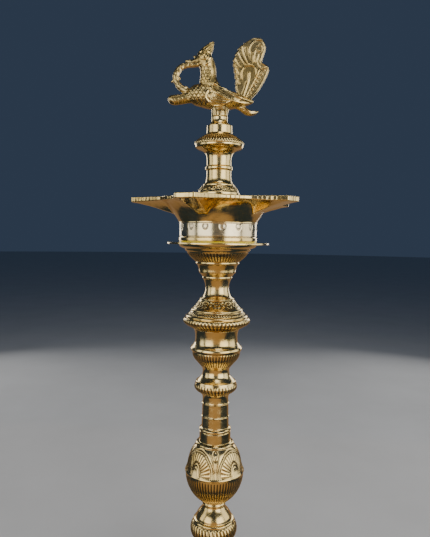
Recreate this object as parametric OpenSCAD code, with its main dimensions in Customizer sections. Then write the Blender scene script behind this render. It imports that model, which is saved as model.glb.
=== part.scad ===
// Standing oil lamp with a five-spouted oil pan and a bird finial, turned and cast in brass.
// Millimetres, +Z up, origin at the centre of the foot's resting face, bird facing -X.

/* [Foot] */
// Diameter of the foot at its rolled rim
foot_d = 197; // [160:1:240]
// Height of the foot from the floor to its crown
foot_h = 106; // [80:1:130]
// Wall of the hollow foot
foot_wall = 3.6; // [2:0.1:6]
// Thickness of the crown that the pedestal is bolted to
crown_t = 7; // [4:0.5:10]

/* [Stem] */
// Height of the roped pedestal
pedestal_h = 48; // [36:1:60]
// Diameter of the pedestal at its rope ring
pedestal_d = 48; // [44:0.5:60]
// Height of the bulbed shaft
shaft_h = 117; // [90:1:150]
// Diameter of the shaft's bulb at its belt
bulb_d = 60.4; // [54:0.1:76]
// Height of the middle knop
knop_h = 65; // [50:1:80]
// Diameter of the middle knop at its ring
knop_d = 51.8; // [46:0.1:66]
// Height of the capital
capital_h = 85; // [70:1:100]
// Diameter of the capital across its top
capital_d = 78.4; // [70:0.1:94]

/* [Drip disc and seal] */
// Diameter of the drip disc
disc_d = 101.6; // [90:0.1:130]
// Thickness of the drip disc
disc_t = 1.6; // [1:0.1:3]
// Thickness of the yellow seal under the pan
seal_t = 1.4; // [1:0.1:3]

/* [Oil pan] */
// Diameter of the pan's drum
drum_d = 78; // [70:0.5:90]
// Height of the drum's straight wall
drum_h = 18; // [12:0.5:26]
// Height of the whole pan
pan_h = 42; // [34:0.5:50]
// Diameter of the round rim between the spouts
rim_d = 121; // [112:0.5:140]
// Height of the pan's edge
rim_t = 3.6; // [2.5:0.1:5]
// Wall of the bowl and of the spouts
pan_wall = 2.6; // [2:0.1:3.5]
// Thickness of the pan's floor
floor_t = 5; // [3:0.5:8]
// Number of spouts
spouts = 5; // [3:1:6]
// Turn of the first spout from the front
first_spout = -20; // [-36:1:36]
// Reach of a spout from the lamp's axis
spout_reach = 86; // [78:0.5:96]
// Width of a spout where it leaves the rim
spout_root_w = 50; // [40:0.5:56]
// Width of a spout's blunt tip
spout_tip_w = 18; // [14:0.5:24]
// Diameter of the boss in the middle of the bowl
boss_d = 30; // [24:0.5:40]

/* [Finial] */
// Height of the finial's turned column
column_h = 69.3; // [55:0.1:85]
// Diameter of the column at its gadrooned knop
column_d = 49; // [44:0.1:60]
// Height of the post under the bird
post_h = 9.2; // [6:0.1:14]
// Diameter of the post at its foot
post_d = 22.4; // [18:0.1:24]
// Height of the bird from its post to the tip of its crest
bird_h = 72; // [60:1:84]
// Length of the bird's body from breast to rump
bird_l = 66; // [56:1:76]
// Width of the bird's body
bird_w = 25; // [20:0.5:30]
// Height of the tail
tail_h = 63; // [52:1:74]
// Breadth of the tail
tail_w = 37; // [30:1:44]
// Thickness of the tail
tail_t = 7; // [5:0.5:10]

/* [Threads] */
// Diameter of the spigots that join the stem's pieces
spigot_d = 14; // [12:0.5:16]
// Length of a stem spigot
spigot_l = 14; // [10:1:16]
// Diameter of the bolt that holds the pedestal to the foot
anchor_d = 18; // [14:0.5:20]
// Diameter of the centre stud that holds the pan
stud_d = 12; // [9:0.5:13]
// Length of stud screwed into the capital
stud_rooted = 30; // [20:1:36]
// Length of stud screwed into the finial
stud_grip = 14; // [12:1:18]
// Diameter of the spigot under the bird's post
post_spigot_d = 9; // [7:0.5:11]
// Length of the spigot under the bird's post
post_spigot_l = 11; // [8:1:14]
// Radial clearance of every screwed joint
thread_gap = 0.05; // [0.03:0.01:0.1]
// Clearance at the bottom of a blind hole
hole_slack = 2; // [1:0.5:4]

/* [Washers and nut] */
// Thickness of the washer inside the foot
washer_t = 2; // [1:0.5:4]
// Diameter of the washer inside the foot
washer_d = 38; // [34:0.5:40]
// Width of the nut across its flats
nut_w = 28; // [26:0.5:32]
// Height of the nut
nut_h = 10; // [6:0.5:14]
// Thickness of the washer under the finial
finial_washer_t = 1.5; // [1:0.1:3]
// Diameter of the washer under the finial
finial_washer_d = 26; // [22:0.5:30]
// Radial gap round the stud in a plain hole
plain_gap = 0.09; // [0.05:0.01:0.1]
// Radial gap round the anchor bolt in the foot and its washer
anchor_gap = 0.4; // [0.2:0.1:1]

/* [Hidden] */

gold = "#c9a24b";
pale_gold = "#d8b968";
dark_gold = "#a8843a";
yellow = "#e0b400";
round_fn = 120;
arc_steps = 5;
edge = 1;
past = 1;

// Levels of the pieces, stacked from the floor up
pedestal_z = foot_h;
shaft_z = pedestal_z + pedestal_h;
knop_z = shaft_z + shaft_h;
capital_z = knop_z + knop_h;
disc_z = capital_z + capital_h;
seal_z = disc_z + disc_t;
pan_z = seal_z + seal_t;
finial_washer_z = pan_z + pan_h;
column_z = finial_washer_z + finial_washer_t;
post_z = column_z + column_h;
bird_z = post_z + post_h;
bolt_end = 3;
anchor_l = crown_t + washer_t + nut_h + bolt_end;

// Outlines from bottom to top as [radius, height], with edge where the curve has a corner
FOOT = [[97.5, 0, edge], [98.5, 2.6], [97.4, 5.4, edge], [95.4, 6, edge], [92.6, 9.4], [87, 12.4],
    [84, 15, edge], [84, 18, edge], [81.6, 18.4, edge], [81, 24.5], [76.4, 33], [68, 40.4],
    [60.4, 44.4, edge], [59.4, 45, edge], [60, 47], [58.6, 49, edge], [54.4, 49.6, edge],
    [46, 56.6], [39.4, 66], [35, 77], [33.2, 86, edge], [34.4, 86.8, edge], [35.2, 89.2],
    [34.2, 91.4, edge], [31.8, 92, edge], [30.2, 97.4], [26.4, 102.6], [23.4, 106, edge]];
HOLLOW = [[93, -5], [91.4, 5], [83, 12.6], [80, 24], [66, 40], [45, 55.6], [35.6, 70],
    [32.6, 84], [30.2, 97], [29, 106]];
PEDESTAL = [[19, 0, edge], [20.6, 2.4], [19.4, 4.8, edge], [16.4, 6, edge], [15.2, 9.4],
    [18.6, 13.6, edge], [22.6, 17.6], [24, 23.5], [22.6, 29], [21, 30.8, edge], [20.6, 31.2, edge],
    [21, 32.4], [20.2, 33.6, edge], [18.6, 34.2, edge], [18, 37], [15.8, 40.8], [12.8, 44.4],
    [11.3, 46.8], [11.2, 48, edge]];
SHAFT = [[10.9, 0, edge], [11.9, 1.6], [10.9, 3.2, edge], [14.4, 5.6], [20.9, 11.8], [25.4, 18.4],
    [28.2, 25.4], [29.4, 31.4], [29.5, 35.4, edge], [30.2, 36.8], [29.4, 38.2, edge], [27.9, 43],
    [26.8, 48.6], [24.8, 55], [21.6, 60.6], [19, 63.6, edge], [19.4, 65], [18.4, 66.4, edge],
    [15.9, 67.2, edge], [15.8, 77.2, edge], [15.2, 77.8, edge], [15.9, 78.4, edge], [16.1, 80],
    [15.2, 81.2, edge], [13.9, 81.8, edge], [13.6, 92, edge], [14.2, 92.8], [13.5, 93.6, edge],
    [13.3, 105.6, edge], [14, 106.4], [13.2, 107.2, edge], [13.2, 112.4], [14.2, 115.4],
    [15.6, 117, edge]];
KNOP = [[15.6, 0, edge], [18.6, 1.8], [21.2, 4.6], [21.6, 7.4], [20.6, 10.2, edge], [20.4, 10.8, edge],
    [20, 12.2], [18.6, 13, edge], [16.6, 14.9], [14.4, 17.6], [13.5, 21], [13.7, 24.2], [15.2, 27],
    [18.6, 31], [22.4, 35.6], [24, 39.6], [24, 42.6, edge], [25.2, 43.3, edge], [25.9, 45.2],
    [25.2, 47, edge], [23.4, 48.8], [21.8, 51.4], [21.3, 55], [21.4, 59.4], [22, 62.8],
    [22.8, 65, edge]];
CAPITAL = [[22.8, 0, edge], [24.6, 1.2], [29.4, 4], [33, 6.8], [33.4, 9.2], [32.2, 11.4, edge],
    [30.6, 12, edge], [31, 13.2], [30, 14.4, edge], [28.8, 14.8, edge], [26.4, 17.8, edge],
    [25.7, 18.4, edge], [26, 19.6], [25, 20.8, edge], [23.8, 21.2, edge], [21.8, 23.6],
    [19.8, 26.2], [17.6, 29.2, edge], [17, 29.8, edge], [17.2, 30.8], [16, 31.7, edge], [14, 33.4],
    [12.4, 36.8], [11.8, 40.8], [12.2, 45], [13.2, 48.4], [14.2, 50.4, edge], [14.8, 50.8, edge],
    [15.1, 51.8], [14.8, 52.7, edge], [15.8, 54], [17.2, 55.8, edge], [18.4, 56.6, edge],
    [18.9, 61], [20.2, 64.6, edge], [21.2, 65, edge], [21.8, 66.2], [21.4, 67.4, edge],
    [23.6, 69], [27.6, 72.6], [30.2, 76], [30.7, 77.6, edge], [31.6, 77.9, edge], [32.6, 79.2],
    [33, 80.6, edge], [34.6, 80.9, edge], [37.6, 82.4], [39.2, 85, edge]];
COLUMN = [[20.2, 0, edge], [21, 1.8], [20.9, 4, edge], [20.3, 4.4, edge], [19.2, 7.6],
    [16.8, 10.4, edge], [15.6, 10.8, edge], [15.5, 12], [14.6, 13, edge], [13.4, 14.8],
    [12.6, 17.6], [12.3, 21], [12.3, 25.8, edge], [13.4, 26.8], [13.5, 29.2], [12.3, 30.4, edge],
    [12.2, 36], [13, 40.6], [15, 43.6], [18.6, 45.8, edge], [22, 46.9], [23.7, 48.8],
    [23.8, 50.2, edge], [24.5, 52.2], [22.9, 54.6], [19.4, 57.2], [15.6, 59.8], [13.2, 61.2, edge],
    [12.9, 61.7, edge], [12.6, 65.5], [12.5, 69.3, edge]];
POST = [[11.2, 0, edge], [10, 1.5], [8.4, 4], [7.9, 6.4], [8.2, 9.2, edge]];

// Smooth curve through an outline's points, with a straight or free end at each edge
function unit(v) = v / norm(v);
function flat2(p) = [p[0], p[1]];
function is_edge(s, i) = i == 0 || i == len(s) - 1 || s[i][2] == edge;
function heading(s, i, from) =
    is_edge(s, i) ? unit(flat2(s[from + 1]) - flat2(s[from])) : unit(flat2(s[i + 1]) - flat2(s[i - 1]));
function blend3(a, b, ta, tb, t) =
    a * (2 * t * t * t - 3 * t * t + 1) + b * (3 * t * t - 2 * t * t * t)
    + norm(b - a) * (ta * (t * t * t - 2 * t * t + t) + tb * (t * t * t - t * t));
function curve(s) = concat(
    [for (i = [0 : len(s) - 2])
        let (n = is_edge(s, i) && is_edge(s, i + 1) ? 1 : arc_steps)
        for (k = [0 : n - 1])
            blend3(flat2(s[i]), flat2(s[i + 1]), heading(s, i, i), heading(s, i + 1, i), k / n)],
    [flat2(s[len(s) - 1])]);

// An outline's points stretched to a piece's own height and greatest radius
function widest(s) = max([for (p = s) p[0]]);
function fitted(s, h, r) =
    let (kr = r / widest(s), kz = h / s[len(s) - 1][1])
    [for (p = s) [p[0] * kr, p[1] * kz, p[2]]];

// A curve moved inwards, square to itself, by a wall's thickness
function inset(c, wall) =
    [for (i = [0 : len(c) - 1])
        let (d = unit(c[min(i + 1, len(c) - 1)] - c[max(i - 1, 0)]))
        c[i] - wall * [d[1], -d[0]]];

module turned(outline, h, r) {
    c = curve(fitted(outline, h, r));
    rotate_extrude($fn = round_fn) polygon(concat([[0, 0]], c, [[0, h]]));
}

module bore(d, from, to) {
    translate([0, 0, from]) cylinder(h = to - from, d = d + 2 * thread_gap, $fn = round_fn);
}

module spigot(d, from, to) {
    lead = 1;
    translate([0, 0, from]) cylinder(h = lead, d1 = d - 2 * lead, d2 = d, $fn = round_fn);
    translate([0, 0, from + lead]) cylinder(h = to - from - lead, d = d, $fn = round_fn);
}

module ring(d, hole, t) {
    difference() {
        cylinder(h = t, d = d, $fn = round_fn);
        translate([0, 0, -past]) cylinder(h = t + 2 * past, d = hole, $fn = round_fn);
    }
}

// Foot: a hollow casting, stepped and domed
module base_foot() color(gold) {
    roof = foot_h - crown_t;
    hollow_r = foot_d / 2 * widest(HOLLOW) / widest(FOOT);
    inner = inset(curve(fitted(HOLLOW, foot_h, hollow_r)), foot_wall);
    below = [for (p = inner) if (p[1] < roof && p[1] > 0) p];
    first = below[0];
    last = below[len(below) - 1];
    difference() {
        turned(FOOT, foot_h, foot_d / 2);
        rotate_extrude($fn = round_fn)
            polygon(concat([[0, -past], [first[0], -past]], below, [[last[0], roof], [0, roof]]));
        translate([0, 0, roof - past])
            cylinder(h = crown_t + 2 * past, d = anchor_d + 2 * anchor_gap, $fn = round_fn);
    }
}

// Pedestal: rope-ringed bell with the anchor bolt turned on its underside
module base_pedestal() color(gold) translate([0, 0, pedestal_z]) difference() {
    union() {
        turned(PEDESTAL, pedestal_h, pedestal_d / 2);
        spigot(anchor_d, -anchor_l, past);
    }
    bore(spigot_d, pedestal_h - spigot_l - hole_slack, pedestal_h + past);
}

module base_washer() color(dark_gold)
    translate([0, 0, foot_h - crown_t - washer_t]) ring(washer_d, anchor_d + 2 * anchor_gap, washer_t);

module base_nut() color(dark_gold) translate([0, 0, foot_h - crown_t - washer_t - nut_h])
    difference() {
        cylinder(h = nut_h, d = nut_w / cos(30), $fn = 6);
        bore(anchor_d, -past, nut_h + past);
    }

// A stem piece has a spigot below and a threaded socket above
module stem_piece(outline, h, r) {
    difference() {
        union() {
            turned(outline, h, r);
            spigot(spigot_d, -spigot_l, past);
        }
        bore(spigot_d, h - spigot_l - hole_slack, h + past);
    }
}

module stem_shaft() color(gold)
    translate([0, 0, shaft_z]) stem_piece(SHAFT, shaft_h, bulb_d / 2);

module stem_knop() color(gold)
    translate([0, 0, knop_z]) stem_piece(KNOP, knop_h, knop_d / 2);

module stem_capital() color(gold) translate([0, 0, capital_z]) difference() {
    union() {
        turned(CAPITAL, capital_h, capital_d / 2);
        spigot(spigot_d, -spigot_l, past);
    }
    bore(stud_d, capital_h - stud_rooted - hole_slack, capital_h + past);
}

// Centre stud: screwed into the capital, through disc, seal and pan, into the finial
module centre_stud() color(dark_gold) {
    tip = column_z + stud_grip;
    foot = disc_z - stud_rooted;
    lead = 1;
    translate([0, 0, foot]) cylinder(h = lead, d1 = stud_d - 2 * lead, d2 = stud_d, $fn = round_fn);
    translate([0, 0, foot + lead]) cylinder(h = tip - foot - 2 * lead, d = stud_d, $fn = round_fn);
    translate([0, 0, tip - lead]) cylinder(h = lead, d1 = stud_d, d2 = stud_d - 2 * lead, $fn = round_fn);
}

module drip_disc() color(pale_gold)
    translate([0, 0, disc_z]) ring(disc_d, stud_d + 2 * plain_gap, disc_t);

seal_inset = 0.4;
module seal_washer() color(yellow)
    translate([0, 0, seal_z]) ring(drum_d - 2 * seal_inset, stud_d + 2 * plain_gap, seal_t);

// Plan of the pan's edge: a round rim, and straight-sided spouts with blunt tips.
// Angles are taken from a spout's middle
pitch = 360 / spouts;
root_a = asin(spout_root_w / rim_d);
root_x = rim_d / 2 * cos(root_a);
side_slope = (spout_root_w - spout_tip_w) / 2 / (spout_reach - root_x);
side_start = spout_root_w / 2 + side_slope * root_x;
tip_a = atan(spout_tip_w / 2 / spout_reach);
function edge_radius(a) =
    abs(a) <= tip_a ? spout_reach / cos(a)
    : abs(a) >= root_a ? rim_d / 2
    : side_start / (sin(abs(a)) + side_slope * cos(a));

// Height of the flare over the drum. It is the lesser of the round bowl's height, a parabola from
// the drum out to the rim, and a spout's keel, which falls back from the edge as a power of the
// way from it
keel_fall = 0.094;
keel_power = 1.3;
function bowl_z(r, r0, rim_r, h) = h * (1 - pow(1 - min(1, (r - r0) / (rim_r - r0)), 2));
function keel_z(r, edge_r, h) = h - keel_fall * pow(max(0, edge_r - r), keel_power);
function across(s, r0, rim_r, edge_r, h) =
    let (r = r0 + (edge_r - r0) * s)
    [r, drum_h + min(bowl_z(r, r0, rim_r, h), keel_z(r, edge_r, h))];

drum_wall = 4.2;
ledge = 0.6;
sunk = 2;
lip = 1.4;
flare_steps = 6;
// Section of the flare's wall at an angle: up the outside, over the edge and down the inside
function flare_section(a) =
    let (r_out = drum_d / 2 - ledge, r_in = drum_d / 2 - drum_wall + ledge, r = edge_radius(a),
        h_out = pan_h - rim_t - drum_h, h_in = pan_h - lip - drum_h)
    concat(
        [[r_out, drum_h - sunk]],
        [for (k = [0 : flare_steps]) across(k / flare_steps, r_out, rim_d / 2, r, h_out)],
        [[r, pan_h], [r - pan_wall, pan_h]],
        [for (k = [flare_steps : -1 : 0])
            across(k / flare_steps, r_in, rim_d / 2 - pan_wall, r - pan_wall, h_in)],
        [[r_in, drum_h - sunk]]);

// Flare and spouts as one closed skin through sections set round the axis
module flare() {
    side = [for (t = [0.25, 0.5, 0.75]) tip_a + (root_a - tip_a) * t];
    half = concat([0, tip_a / 2, tip_a], side, [root_a, (root_a + pitch / 2) / 2]);
    angles = concat([-pitch / 2], [for (i = [len(half) - 1 : -1 : 1]) -half[i]], half);
    all = [for (i = [0 : spouts - 1]) for (a = angles) [a, first_spout + i * pitch + a]];
    sections = [for (q = all)
        [for (p = flare_section(q[0])) [p[0] * sin(q[1]), -p[0] * cos(q[1]), p[1]]]];
    n = len(sections);
    m = len(sections[0]);
    faces = [for (i = [0 : n - 1]) for (j = [0 : m - 1])
        let (k = (i + 1) % n, l = (j + 1) % m)
            each [[i * m + j, k * m + l, k * m + j], [i * m + j, i * m + l, k * m + l]]];
    polyhedron(points = [for (c = sections) for (p = c) p], faces = faces, convexity = 8);
}

// Oil pan: drum, flared bowl, spouts and the boss that the stud passes through
foot_band = 3.6;
groove = 0.8;
boss_spread = 1.2;
module oil_pan() color(pale_gold) translate([0, 0, pan_z]) difference() {
    union() {
        difference() {
            rotate_extrude($fn = round_fn) polygon(
                [[0, 0], [drum_d / 2, 0], [drum_d / 2, foot_band],
                    [drum_d / 2 - groove, foot_band + groove],
                    [drum_d / 2 - groove / 2, foot_band + 2 * groove],
                    [drum_d / 2 - groove / 2, drum_h - groove], [drum_d / 2, drum_h - groove / 2],
                    [drum_d / 2, drum_h], [0, drum_h]]);
            translate([0, 0, floor_t])
                cylinder(h = drum_h, d = drum_d - 2 * drum_wall, $fn = round_fn);
        }
        translate([0, 0, floor_t - past])
            cylinder(
                h = pan_h - floor_t + past, d1 = boss_d * boss_spread, d2 = boss_d, $fn = round_fn);
        flare();
    }
    translate([0, 0, -past])
        cylinder(h = pan_h + 2 * past, d = stud_d + 2 * plain_gap, $fn = round_fn);
}

module finial_washer() color(dark_gold)
    translate([0, 0, finial_washer_z]) ring(finial_washer_d, stud_d + 2 * plain_gap, finial_washer_t);

module finial_column() color(gold) translate([0, 0, column_z]) difference() {
    turned(COLUMN, column_h, column_d / 2);
    bore(stud_d, -past, stud_grip + hole_slack);
    bore(post_spigot_d, column_h - post_spigot_l - hole_slack, column_h + past);
}

module bird_post() color(gold) translate([0, 0, post_z]) {
    turned(POST, post_h, post_d / 2);
    spigot(post_spigot_d, -post_spigot_l, past);
}

// A closed skin through rings laid across a path: each ring is [x, z, lean, half depth, half width],
// where lean is the path's direction in degrees from +X towards +Z and depth is along Y
ring_points = 14;
function ring_point(s, a) =
    [s[0] - sin(s[2]) * s[4] * cos(a), s[3] * sin(a), s[1] + cos(s[2]) * s[4] * cos(a)];
function smooth_rings(s, n) = concat(
    [for (i = [0 : len(s) - 2]) for (k = [0 : n - 1])
        let (a = s[max(i - 1, 0)], b = s[i], c = s[i + 1], d = s[min(i + 2, len(s) - 1)], t = k / n)
        b + (c - a) * t / 2 + (2 * a - 5 * b + 4 * c - d) * t * t / 2
            + (3 * b - a - 3 * c + d) * t * t * t / 2],
    [s[len(s) - 1]]);
module skin(rings, steps = 3) {
    s = smooth_rings(rings, steps);
    n = len(s);
    m = ring_points;
    points = [for (q = s) for (j = [0 : m - 1]) ring_point(q, 360 * j / m)];
    sides = [for (i = [0 : n - 2]) for (j = [0 : m - 1])
        let (a = i * m + j, b = i * m + (j + 1) % m) each [[a, b, b + m], [a, b + m, a + m]]];
    ends = [[for (j = [m - 1 : -1 : 0]) j], [for (j = [0 : m - 1]) (n - 1) * m + j]];
    polyhedron(points = points, faces = concat(sides, ends), convexity = 6);
}

// The bird's stations are drawn for a body of this length, height and width, and for a tail of
// this height and breadth, and then stretched to the sizes asked for
drawn_l = 66;
drawn_h = 72;
drawn_w = 25;
drawn_tail_h = 62.6;
drawn_tail_w = 36.8;
kx = bird_l / drawn_l;
kz = bird_h / drawn_h;
ky = bird_w / drawn_w;
function sized(rings) =
    [for (s = rings) [s[0] * kx, s[1] * kz, s[2], s[3] * ky, s[4] * (kx + kz) / 2]];
BODY = [[37, 3, 148, 3, 3.6], [32, 7, 145, 5, 5.6], [24, 12, 160, 8.6, 8], [10, 16, 172, 12, 11],
    [-6, 18.4, 175, 12.5, 12.4], [-20, 20, 190, 11, 12], [-27, 18.6, 200, 8, 9.4],
    [-31, 17, 205, 4, 5]];
NECK = [[-6, 15, 115, 9, 14], [-11, 26, 100, 8.6, 12.4], [-12, 38, 92, 7.4, 9],
    [-12, 46, 95, 7, 8.6], [-15.5, 53, 100, 7.6, 9.4], [-15, 60, 75, 7, 8],
    [-12.4, 65, 62, 4.6, 5.4], [-9, 69, 60, 2.2, 3], [-6.6, 72, 60, 0.6, 0.9]];
GARLAND = [[-20, 51, 175, 3.4, 3.6], [-28, 50.6, 178, 3.2, 3], [-36.6, 49, 210, 3.2, 3.2],
    [-42, 42.6, 262, 3.2, 3.4], [-43, 35, 285, 3.4, 3.6], [-38.4, 28, 315, 3.8, 4],
    [-31, 25, 345, 4, 4.6]];
LUMP = [[-24, 19, 186, 6, 7.4], [-34, 17.4, 192, 6, 6.4], [-43, 16, 190, 5.6, 5],
    [-49, 16, 180, 3.4, 3.2]];
LEGS = [[0, -0.6, 90, 6.4, 7.8], [0, 2.4, 90, 6.8, 8.6], [0.4, 7, 90, 8.4, 11],
    [0.4, 12, 90, 9.4, 14]];
WING = [[20, 16, 172, 1.4, 3.4], [10, 17, 174, 4, 7.6], [-4, 19, 178, 4.6, 9],
    [-14, 19, 184, 2, 4.6]];
wing_out = 8.6;

module bird_body() color(gold) translate([0, 0, bird_z]) difference() {
    union() {
        skin(sized(BODY));
        skin(sized(NECK));
        skin(sized(GARLAND));
        skin(sized(LUMP));
        skin(sized(LEGS));
        for (side = [-1, 1]) translate([0, side * wing_out * ky, 0]) skin(sized(WING));
    }
    translate([-post_d, -post_d, -post_h]) cube([2 * post_d, 2 * post_d, post_h]);
    tail_plate(braze_gap);
}

// Tail: a thick plate in the plane of the bird, its root let into the rump
TAIL = [[-9.2, 0, edge], [-8.6, 4], [-14, 13.5], [-15, 26.4], [-17, 38.8], [-15.4, 47], [-11, 54.4],
    [-3.4, 57.6, edge], [3, 62], [10, 62], [15.2, 57], [15.4, 49.6], [12.4, 43.4], [12.4, 39, edge],
    [17, 36.6], [19.8, 31.6], [18.4, 25], [14.4, 16.4], [8, 8.6], [-1, 0, edge]];
tail_x = 28.3;
tail_base = 13.5;
braze_gap = 0.15;
module tail_plate(gap) {
    k_w = tail_w / drawn_tail_w;
    k_h = tail_h / drawn_tail_h;
    outline = curve([for (p = TAIL) [p[0] * k_w, p[1] * k_h, p[2]]]);
    translate([tail_x * kx, tail_t / 2 + gap, tail_base * kz]) rotate([90, 0, 0])
        linear_extrude(tail_t + 2 * gap) polygon(outline);
}

module bird_tail() color(gold) translate([0, 0, bird_z]) tail_plate(0);

base_foot();
base_pedestal();
base_washer();
base_nut();
stem_shaft();
stem_knop();
stem_capital();
centre_stud();
drip_disc();
seal_washer();
oil_pan();
finial_washer();
finial_column();
bird_post();
bird_body();
bird_tail();
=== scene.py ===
"""Standing oil lamp in brass: turned and chased stem, spouted pan, cast bird finial.

Metres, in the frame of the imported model: +Z up the lamp's axis, the bird's beak towards -X.
"""
import math

import bpy
import numpy as np
from mathutils import Matrix, Vector


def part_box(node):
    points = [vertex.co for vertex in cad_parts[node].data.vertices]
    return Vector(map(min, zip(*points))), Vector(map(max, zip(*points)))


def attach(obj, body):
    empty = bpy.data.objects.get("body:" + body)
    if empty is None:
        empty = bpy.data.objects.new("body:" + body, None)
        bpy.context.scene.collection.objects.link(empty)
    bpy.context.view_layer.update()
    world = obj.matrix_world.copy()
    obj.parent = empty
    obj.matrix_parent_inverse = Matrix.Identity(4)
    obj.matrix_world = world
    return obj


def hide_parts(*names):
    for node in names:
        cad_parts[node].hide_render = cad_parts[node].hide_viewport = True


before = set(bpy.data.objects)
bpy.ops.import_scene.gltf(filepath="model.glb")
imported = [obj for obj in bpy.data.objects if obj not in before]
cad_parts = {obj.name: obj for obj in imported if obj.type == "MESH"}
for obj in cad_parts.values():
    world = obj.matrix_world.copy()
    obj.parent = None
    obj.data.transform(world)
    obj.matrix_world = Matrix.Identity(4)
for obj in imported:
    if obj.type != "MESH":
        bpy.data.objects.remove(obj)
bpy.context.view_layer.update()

MM = 0.001
TURN = 2 * math.pi


# ---------------------------------------------------------------- meshes


def mesh_object(name, points, quads, triangles=(), marks=None):
    """A smooth-shaded mesh object from arrays of points, quads and triangles.

    marks maps the name of a point attribute to its values.
    """
    quads = np.asarray(quads, np.int32).reshape(-1, 4)
    triangles = np.asarray(triangles, np.int32).reshape(-1, 3)
    mesh = bpy.data.meshes.new(name)
    mesh.vertices.add(len(points))
    mesh.vertices.foreach_set("co", np.asarray(points, np.float32).ravel())
    corners = np.concatenate([quads.ravel(), triangles.ravel()])
    mesh.loops.add(len(corners))
    mesh.loops.foreach_set("vertex_index", corners)
    sizes = np.concatenate([np.full(len(quads), 4), np.full(len(triangles), 3)])
    mesh.polygons.add(len(sizes))
    starts = np.concatenate([[0], np.cumsum(sizes)[:-1]])
    mesh.polygons.foreach_set("loop_start", starts.astype(np.int32))
    mesh.update(calc_edges=True)
    mesh.validate()
    mesh.polygons.foreach_set("use_smooth", np.ones(len(mesh.polygons), bool))
    for mark, values in (marks or {}).items():
        layer = mesh.attributes.new(mark, "FLOAT", "POINT")
        layer.data.foreach_set("value", np.asarray(values, np.float32).ravel())
    piece = bpy.data.objects.new(name, mesh)
    bpy.context.scene.collection.objects.link(piece)
    return piece


def ring_quads(rows, columns, close_rows=False):
    """Quads of a grid whose columns run round a ring, and whose rows may close as well."""
    last = rows if close_rows else rows - 1
    i = np.arange(last)[:, None]
    j = np.arange(columns)[None, :]
    below, above = i * columns, (i + 1) % rows * columns
    right = (j + 1) % columns
    return np.stack([below + j, below + right, above + right, above + j], -1).reshape(-1, 4)


def end_fans(rows, columns):
    """Triangles that close the first and last rings of a grid, each round a middle point of its
    own; the two middle points come after the grid's."""
    j = np.arange(columns)
    k = (j + 1) % columns
    low_end, high_end = rows * columns, rows * columns + 1
    last = (rows - 1) * columns
    return np.concatenate(
        [
            np.stack([k, j, np.full(columns, low_end)], 1),
            np.stack([last + j, last + k, np.full(columns, high_end)], 1),
        ]
    )


# ---------------------------------------------------------------- outlines of turned pieces

SAME_RING = 0.01 * MM
CELL_SHIFT = 0.137
MOST_BEND = math.radians(12)
INSIDE_BEND = math.radians(18)
OUTSIDE_SPACING = 2.0 * MM
INSIDE_SPACING = 6.0 * MM
CORNER = math.radians(26)
CORNER_REACH = 0.16 * MM


def outline_of(node):
    """The section of a turned CAD node in the half plane r > 0, as [r, z] in order.

    Each ring of its mesh is one point, and two rings that share a triangle are neighbours.
    Points whose radius and height fall in one small cell are one ring, and the cells are shifted
    so that round sizes don't lie on their edges. The walk starts at the lowest ring and climbs
    the outside. Also says whether the section closes.
    """
    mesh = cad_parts[node].data
    co = np.empty(len(mesh.vertices) * 3, np.float32)
    mesh.vertices.foreach_get("co", co)
    co = co.reshape(-1, 3).astype(float)
    rz = np.stack([np.hypot(co[:, 0], co[:, 1]), co[:, 2]], 1)
    cell = np.floor(rz / SAME_RING + CELL_SHIFT).astype(int)
    ring = np.unique(cell, axis=0, return_inverse=True)[1].ravel()
    corners = np.empty(len(mesh.loops), np.int32)
    mesh.loops.foreach_get("vertex_index", corners)
    tri = ring[corners].reshape(-1, 3)
    pairs = np.concatenate([tri[:, [0, 1]], tri[:, [1, 2]], tri[:, [2, 0]]])
    pairs = np.unique(np.sort(pairs[pairs[:, 0] != pairs[:, 1]], axis=1), axis=0)
    near = {}
    for a, b in pairs:
        near.setdefault(a, []).append(b)
        near.setdefault(b, []).append(a)
    members = np.bincount(ring)
    rings = np.stack([np.bincount(ring, rz[:, k]) / members for k in (0, 1)], 1)
    ends = [k for k, v in near.items() if len(v) == 1]
    closed = not ends
    start = min(ends or near, key=lambda k: (rings[k][1], rings[k][0]))
    path, seen = [start], {start}
    while True:
        onward = [k for k in near[path[-1]] if k not in seen]
        if not onward:
            break
        path.append(max(onward, key=lambda k: rings[k][0]) if len(path) == 1 else onward[0])
        seen.add(path[-1])
    return rings[path], closed


def headings(points):
    """Unit direction of each step of a polyline."""
    step = np.diff(points, axis=0)
    return step / np.maximum(np.linalg.norm(step, axis=1, keepdims=True), 1e-12)


def smooth_run(run, spacing, bend):
    """A polyline's points as a smooth curve: cubic pieces whose slopes are those of the
    neighbouring points' chords, sampled by length and by how much the run turns."""
    if len(run) == 2:
        return run
    steps = np.linalg.norm(np.diff(run, axis=0), axis=1)
    s = np.concatenate([[0], np.cumsum(steps)])
    slope = np.gradient(run, s, axis=0)
    way = headings(run)
    turning = np.arccos(np.clip((way[1:] * way[:-1]).sum(1), -1, 1))
    wanted = np.concatenate([[0], np.cumsum(steps / spacing)])
    wanted[1:-1] += np.cumsum(turning / bend)
    wanted[-1] += turning.sum() / bend
    count = max(2, int(math.ceil(wanted[-1])))
    at = np.interp(np.linspace(0, wanted[-1], count + 1), wanted, s)
    k = np.clip(np.searchsorted(s, at, side="right") - 1, 0, len(s) - 2)
    h = (s[k + 1] - s[k])[:, None]
    t = (at - s[k])[:, None] / h
    return (
        run[k] * (2 * t**3 - 3 * t**2 + 1)
        + slope[k] * h * (t**3 - 2 * t**2 + t)
        + run[k + 1] * (3 * t**2 - 2 * t**3)
        + slope[k + 1] * h * (t**3 - t**2)
    )


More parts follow.
